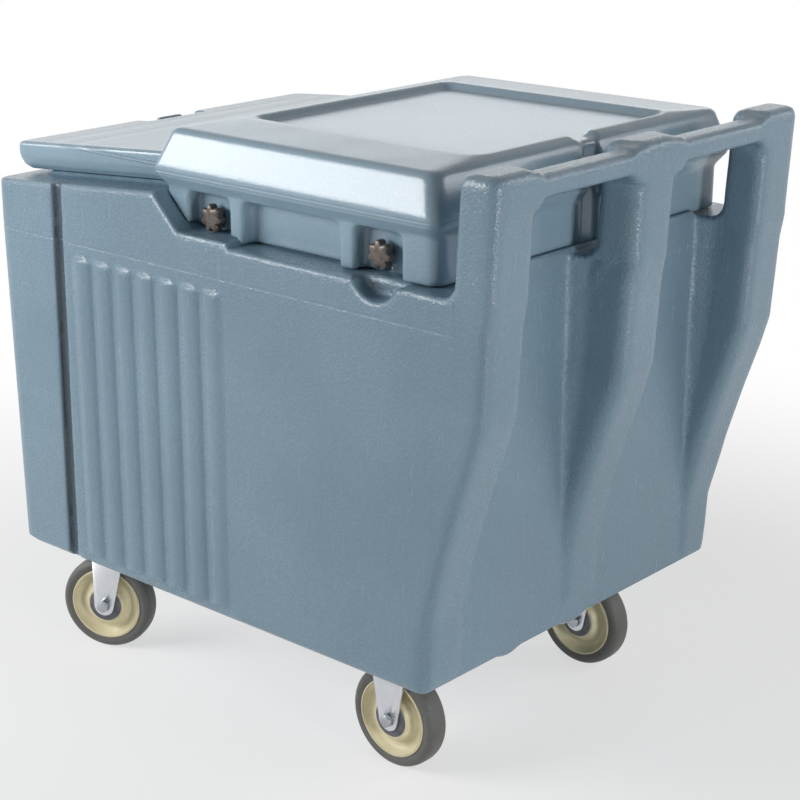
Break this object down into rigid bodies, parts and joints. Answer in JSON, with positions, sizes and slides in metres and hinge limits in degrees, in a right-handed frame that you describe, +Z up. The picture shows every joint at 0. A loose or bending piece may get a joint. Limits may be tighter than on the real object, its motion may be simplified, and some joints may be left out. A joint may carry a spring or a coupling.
{
  "type": "mobile ice bin",
  "caption": "Insulated ice bin on casters with a sliding lid, a raised cover held by star knobs, ribbed side walls and a push handle on struts.",
  "frame": {"origin": "on the floor below the middle of the overall box", "axes": "+X to the push handle, -X to the lid end, +Z up"},
  "size_m": [0.804, 0.583, 0.756],
  "materials": {
    "shell_plastic": "semi-gloss moulded polyethylene with a fine grain",
    "cover_plastic": "smoother semi-gloss moulded polyethylene",
    "foam": "rigid insulating foam",
    "shelf_plastic": "moulded plastic, satin",
    "spigot_plastic": "white moulded plastic, satin",
    "seal": "matt black rubber",
    "knob_plastic": "dark brown moulded plastic",
    "zinc_steel": "bright zinc-plated pressed steel",
    "fastener_steel": "zinc-plated steel",
    "tyre": "grey rubber tread, satin",
    "wheel_plastic": "beige moulded plastic",
    "hub_plastic": "dark grey moulded plastic"
  },
  "bodies": {
    "bin": {"body_shell": "shell_plastic", "body_insulation": "foam", "fill_plug": "shell_plastic", "drain_tube": "spigot_plastic", "drain_washer": "seal", "drain_lock_nut": "spigot_plastic", "drain_valve": "spigot_plastic", "front_left_knob_stud": "fastener_steel", "rear_left_knob_stud": "fastener_steel", "front_right_knob_stud": "fastener_steel", "rear_right_knob_stud": "fastener_steel", "front_left_caster_plate": "zinc_steel", "rear_left_caster_plate": "zinc_steel", "front_right_caster_plate": "zinc_steel", "rear_right_caster_plate": "zinc_steel", "front_left_swivel_race": "zinc_steel", "front_left_kingpin": "fastener_steel", "front_right_swivel_race": "zinc_steel", "front_right_kingpin": "fastener_steel", "rear_left_fork": "zinc_steel", "rear_left_axle_bolt": "fastener_steel", "rear_left_axle_nut": "fastener_steel", "rear_left_bearing_sleeve": "hub_plastic", "rear_right_fork": "zinc_steel", "rear_right_axle_bolt": "fastener_steel", "rear_right_axle_nut": "fastener_steel", "rear_right_bearing_sleeve": "hub_plastic"},
    "cover": {"raised_cover": "cover_plastic"},
    "lid": {"sliding_lid": "cover_plastic", "lid_insulation": "foam"},
    "shelf": {"drain_shelf": "shelf_plastic"},
    "drain_handle": {"drain_lever": "hub_plastic"},
    "front_left_knob_body": {"front_left_knob": "knob_plastic"},
    "rear_left_knob_body": {"rear_left_knob": "knob_plastic"},
    "front_right_knob_body": {"front_right_knob": "knob_plastic"},
    "rear_right_knob_body": {"rear_right_knob": "knob_plastic"},
    "front_left_swivel": {"front_left_fork": "zinc_steel", "front_left_axle_bolt": "fastener_steel", "front_left_axle_nut": "fastener_steel", "front_left_bearing_sleeve": "hub_plastic"},
    "front_right_swivel": {"front_right_fork": "zinc_steel", "front_right_axle_bolt": "fastener_steel", "front_right_axle_nut": "fastener_steel", "front_right_bearing_sleeve": "hub_plastic"},
    "front_left_wheel": {"front_left_wheel_centre": "wheel_plastic", "front_left_tyre": "tyre"},
    "rear_left_wheel": {"rear_left_wheel_centre": "wheel_plastic", "rear_left_tyre": "tyre"},
    "front_right_wheel": {"front_right_wheel_centre": "wheel_plastic", "front_right_tyre": "tyre"},
    "rear_right_wheel": {"rear_right_wheel_centre": "wheel_plastic", "rear_right_tyre": "tyre"}
  },
  "joints": [
    {"name": "lid_slide", "type": "slide", "parent": "bin", "child": "lid", "axis": [0.9969, 0, 0.0785], "range_m": [0, 0.27]},
    {"name": "cover_lift_off", "type": "slide", "parent": "bin", "child": "cover", "axis": [0, 0, 1], "range_m": [0, 0.2]},
    {"name": "shelf_lift_out", "type": "slide", "parent": "bin", "child": "shelf", "axis": [0, 0, 1], "range_m": [0, 0.36]},
    {"name": "drain_handle_turn", "type": "hinge", "parent": "bin", "child": "drain_handle", "pos_m": [-0.385, 0, 0.226], "axis": [1, 0, 0], "range_deg": [-90, 0]},
    {"name": "front_left_knob_turn", "type": "hinge", "parent": "bin", "child": "front_left_knob_body", "pos_m": [-0.0345, -0.2485, 0.647], "axis": [0, -1, 0], "continuous": true},
    {"name": "rear_left_knob_turn", "type": "hinge", "parent": "bin", "child": "rear_left_knob_body", "pos_m": [0.2245, -0.2485, 0.647], "axis": [0, -1, 0], "continuous": true},
    {"name": "front_right_knob_turn", "type": "hinge", "parent": "bin", "child": "front_right_knob_body", "pos_m": [-0.0345, 0.2485, 0.647], "axis": [0, 1, 0], "continuous": true},
    {"name": "rear_right_knob_turn", "type": "hinge", "parent": "bin", "child": "rear_right_knob_body", "pos_m": [0.2245, 0.2485, 0.647], "axis": [0, 1, 0], "continuous": true},
    {"name": "front_left_swivel_turn", "type": "hinge", "parent": "bin", "child": "front_left_swivel", "pos_m": [-0.294, -0.185, 0.145], "axis": [0, 0, 1], "continuous": true},
    {"name": "front_left_wheel_roll", "type": "hinge", "parent": "front_left_swivel", "child": "front_left_wheel", "pos_m": [-0.32572, -0.19979, 0.0635], "axis": [-0.4226, 0.9063, 0], "continuous": true},
    {"name": "front_right_swivel_turn", "type": "hinge", "parent": "bin", "child": "front_right_swivel", "pos_m": [-0.294, 0.185, 0.145], "axis": [0, 0, 1], "continuous": true},
    {"name": "front_right_wheel_roll", "type": "hinge", "parent": "front_right_swivel", "child": "front_right_wheel", "pos_m": [-0.32823, 0.17772, 0.0635], "axis": [-0.2079, 0.9781, 0], "continuous": true},
    {"name": "rear_left_wheel_roll", "type": "hinge", "parent": "bin", "child": "rear_left_wheel", "pos_m": [0.186, -0.185, 0.0635], "axis": [0, 1, 0], "continuous": true},
    {"name": "rear_right_wheel_roll", "type": "hinge", "parent": "bin", "child": "rear_right_wheel", "pos_m": [0.186, 0.185, 0.0635], "axis": [0, 1, 0], "continuous": true}
  ]
}
